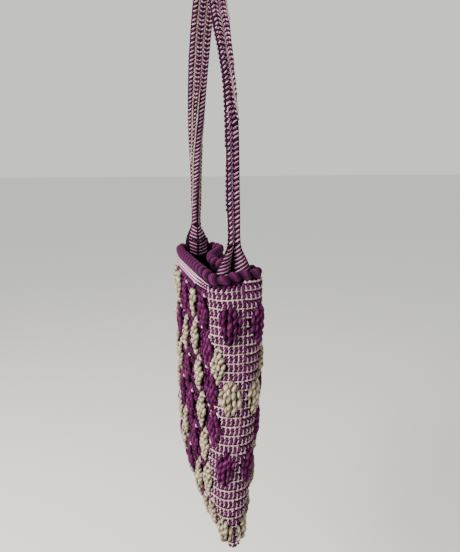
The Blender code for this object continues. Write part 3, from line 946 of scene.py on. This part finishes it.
# The columns between those lines, each with 1 where its strokes climb to the right, -1 where
# they fall
OUTER_STROKES = (("chain_a", "bead", 1), ("bead", "groove", 1), ("groove", "crest_a", 1),
                 ("crest_a", "chain_b", -1), ("chain_b", "crest_b", 1), ("crest_b", "chain_c", -1))
INNER_STROKES = (("edge", "chain_a", 1), ("chain_a", "crest_a", -1), ("crest_a", "chain_b", 1),
                 ("chain_b", "crest_b", -1), ("crest_b", "chain_c", 1), ("chain_c", "end", -1))
CHAIN_HALF = 0.055
THINNEST_COLUMN = 0.06
FACE_EDGE = 0.02

# The strokes' rise in pitches, at most and for each share of the face that they cross
STROKE_RISE = 0.48
STROKE_STEEPNESS = 1.6
PURPLE_STROKE = (0.0001, 0.0012, 0.0025, 0.0024)
PALE_STROKE = (0.0003, 0.0015, 0.0018, 0.0019)
BEAD = (0.0010, 0.0019, 0.0018, 0.0016)
CHAIN = (0.0002, 0.0010, 0.0023, 0.0018)


def band_rows(length, inside):
    """Sheet places of one face's purple strands, pale strands and pale chain links."""
    purple, pale, chain = [], [], []
    columns, face, strokes = (
        (INNER_COLUMNS, INNER_FACE, INNER_STROKES) if inside
        else (OUTER_COLUMNS, OUTER_FACE, OUTER_STROKES)
    )
    fan = (FAN_TUCK + FAN_RISE) / length
    count = round(length * (1 - 2 * fan) / BAND_PITCH)
    tucked = FAN_TUCK / STRAP_DROP
    for row in range(count):
        down = fan + (1 - 2 * fan) * (row + 0.5) / count
        up = BAND_PITCH / length * (1 if down < 0.5 else -1)
        run = (1 - abs(2 * down - 1)) * (STRAP_TOP + tucked) - tucked
        lines = row_at(columns, face, run)
        lines["end"] = 1.0
        wobble = 0.05 * chance.normal() * up
        for left, right, slope in strokes:
            low = max(lines[left] + (CHAIN_HALF if left[:5] == "chain" else 0.0), 0.0)
            high = min(lines[right] - (CHAIN_HALF if right[:5] == "chain" else 0.0), 1.0)
            if high - low < THINNEST_COLUMN:
                continue
            rise = slope * up * min(STROKE_RISE, STROKE_STEEPNESS * (high - low))
            level = down + wobble
            purple.append((low, level - rise, high, level + rise, *PURPLE_STROKE))
            level += 0.5 * up
            pale.append((low, level - rise, high, level + rise, *PALE_STROKE))
        if not inside and lines["bead"] > FACE_EDGE:
            bead = lines["bead"]
            pale.append((bead, down - 0.25 * up, bead, down + 0.25 * up, *BEAD))
        for name in ("chain_a", "chain_b", "chain_c"):
            line = lines[name]
            if FACE_EDGE < line < 1.0 - FACE_EDGE:
                chain.append((line, down - 0.52 * up, line, down + 0.52 * up, *CHAIN))
    return purple, pale, chain


# The fans' strands: the pitch, the lowest one and the lift of their ends, in metres. A flap has
# its left and right edges as shares across the band and its strands' rise at each.
FAN_PITCH = 0.0041
FAN_FROM = 0.004
FAN_END_LIFT = 0.0004
LEFT_FLAP = (0.01, 0.0, 0.45, 0.0050)
RIGHT_FLAP = (0.55, 0.0, 0.99)
RIGHT_FLAP_RISE = 0.0130
INNER_FLAPS = ((0.04, 0.0045, 0.49, 0.0), (0.51, 0.0, 0.96, 0.0045))

# How far a strand is raised above the row, in pitches, its width and the lift of its middle
FAN_PURPLE = (0.0, 0.0034, 0.0012)
FAN_PALE = (0.5, 0.0015, 0.0018)


def fan_rows(length, inside, end):
    """Sheet places of the strands of one fan: long slanted ones on each of its two flaps."""
    purple, pale = [], []
    last = FAN_TUCK + FAN_RISE
    for row in range(int((last - FAN_FROM) / FAN_PITCH)):
        height = FAN_FROM + row * FAN_PITCH
        steepness = RIGHT_FLAP_RISE * (1 - 0.6 * height / last)
        flaps = INNER_FLAPS if inside else (LEFT_FLAP, (*RIGHT_FLAP, steepness))
        for left, left_rise, right, right_rise in flaps:
            for rows, (raised, wide, lift) in ((purple, FAN_PURPLE), (pale, FAN_PALE)):
                low = height + raised * FAN_PITCH
                ends = numpy.array((low + left_rise, low + right_rise)) / length
                if end < 0:
                    ends = 1.0 - ends
                rows.append((left, ends[0], right, ends[1], FAN_END_LIFT, lift, wide, 0.8 * wide))
    return purple, pale


def band_material():
    """The purple wool behind the band's strands, painted near black as the shade in the gaps
    between them.
    """
    material, shader = new_material("woven_band_ground_and_painted_shade", 0.95, 0.0)
    place = add_node(material, "ShaderNodeTexCoord").outputs["Object"]
    mottle = add_node(material, "ShaderNodeTexNoise", Vector=place, Scale=600.0, Detail=3.0)
    ramp = add_node(material, "ShaderNodeValToRGB", Fac=mottle.outputs["Fac"])
    # Painted shade: the band's ground is near black to stand for the shade in the gaps between its
    # strands.
    ramp.color_ramp.elements[0].color = linear("#070206")
    ramp.color_ramp.elements[1].color = linear("#1c0618")
    material.node_tree.links.new(ramp.outputs["Color"], shader.inputs["Base Color"])
    return material


band, band_length = even_stations(numpy.concatenate((band_half(1), band_half(-1)[-2::-1])))
outer_band, inner_band = band[:, 0], band[:, 1]
closed_band = numpy.concatenate((outer_band, inner_band[:, ::-1], outer_band[:, :1]), axis=1)
band_core = shaped_grid("strap_core", closed_band)
finish_piece(band_core, band_material(), ["strap"])

band_purple = yarn_material("strap_purple_wool", "#0f020c", "#300826", "#5c1a4c", 3.0, 2, 0.5)
band_pale = yarn_material("strap_pale_lilac", "#6d4462", "#a67a97", "#dcbfd0", 3.0, 2, 0.4)
band_chain = yarn_material("strap_chain_cotton", "#6b5a53", "#9a8a80", "#c4b5ab", 3.0, 2, 0.4)
for word, points, flip in (("outer", outer_band, -1), ("inner", inner_band, 1)):
    sheet = sheet_of(points, flip)
    inside = word == "inner"
    purple, pale, chain = band_rows(band_length, inside)
    for end in (1, -1):
        fan_purple, fan_pale = fan_rows(band_length, inside, end)
        purple += fan_purple
        pale += fan_pale
    for part, rows, finish in (
        ("purple_strands", purple, band_purple),
        ("pale_strands", pale, band_pale),
        ("chains", chain, band_chain),
    ):
        piece = lay_rows(f"strap_{word}_{part}", sheet, numpy.array(rows), 5, 5)
        finish_piece(piece, finish, ["strap"])


# The stitches that hold the fans: black thread over the inside of each, just above the roll.

STITCH_RISE = 0.0105
STITCH_HEIGHT = FAN_TUCK + STITCH_RISE
STITCH_TILT = 0.0012
STITCH_START = 0.02
STITCH_PITCH = 0.12
STITCH_BACK = 0.05
STITCH_AHEAD = 0.07
STITCH_COUNT = 9
STITCH = (0.0014, 0.0030, 0.0019, 0.0019)
black_thread = yarn_material("black_sewing_thread", "#050305", "#120c12", "#2a2028", 3.0, 2, 0.4)
stitch_rows = []
for end in (1, -1):
    for stitch in range(STITCH_COUNT):
        across = STITCH_START + stitch * STITCH_PITCH
        tilt = STITCH_TILT * (-1) ** stitch
        heights = numpy.array((STITCH_HEIGHT - tilt, STITCH_HEIGHT + tilt)) / band_length
        heights = heights if end > 0 else 1.0 - heights
        stitch_rows.append((across - STITCH_BACK, heights[0], across + STITCH_AHEAD, heights[1],
                            *STITCH))
piece = lay_rows("fan_stitches", sheet_of(inner_band, 1), numpy.array(stitch_rows), 6, 6)
finish_piece(piece, black_thread, ["strap"])


# The camera: off the pouch's near end and a little to its front, level from side to side and
# looking down.

CAMERA_TURN = math.radians(16.995)
CAMERA_PITCH = math.radians(13.617)
CAMERA_PLACE = (0.49653, -0.13089, -0.18607)
LENS = 30.0
SENSOR = 36.0

camera = bpy.data.objects.new("camera", bpy.data.cameras.new("camera"))
bpy.context.scene.collection.objects.link(camera)
bpy.context.scene.camera = camera
camera.data.lens = LENS
camera.data.sensor_width = SENSOR
camera.data.clip_start = 0.01
camera.location = CAMERA_PLACE
ahead = Vector((
    -math.cos(CAMERA_TURN) * math.cos(CAMERA_PITCH),
    math.sin(CAMERA_TURN) * math.cos(CAMERA_PITCH),
    -math.sin(CAMERA_PITCH),
))
camera.rotation_mode = "QUATERNION"
camera.rotation_quaternion = ahead.to_track_quat("-Z", "Y")


# The studio: a pale matt floor well below the pouch, one big soft light from the left and pale
# surroundings.

FLOOR_LEVEL = -0.95
FLOOR_SIZE = 60.0

bm = bmesh.new()
bmesh.ops.create_grid(bm, x_segments=2, y_segments=2, size=FLOOR_SIZE / 2)
bmesh.ops.translate(bm, verts=bm.verts, vec=(0.0, 0.0, FLOOR_LEVEL))
floor = object_of("floor", bm)
matt = bpy.data.materials.new("pale_matt_floor")
matt.use_nodes = True
matt.node_tree.nodes["Principled BSDF"].inputs["Base Color"].default_value = linear("#e6e6e2")
matt.node_tree.nodes["Principled BSDF"].inputs["Roughness"].default_value = 0.9
floor.data.materials.append(matt)

POUCH_MIDDLE = Vector((0.0, 0.0, -0.38))


def soft_light(name, place, size, energy, colour):
    """A square area light that faces the pouch."""
    lamp = bpy.data.objects.new(name, bpy.data.lights.new(name, "AREA"))
    lamp.data.energy = energy
    lamp.data.size = size
    lamp.data.color = linear(colour)[:3]
    lamp.location = place
    lamp.rotation_mode = "QUATERNION"
    lamp.rotation_quaternion = (POUCH_MIDDLE - lamp.location).to_track_quat("-Z", "Y")
    bpy.context.scene.collection.objects.link(lamp)


soft_light("window_light", (0.42, -1.25, 0.25), 0.8, 62.0, "#fffaf2")
world = bpy.data.worlds.new("pale_room")
bpy.context.scene.world = world
world.use_nodes = True
world.node_tree.nodes["Background"].inputs["Color"].default_value = linear("#efefec")
world.node_tree.nodes["Background"].inputs["Strength"].default_value = 1.05
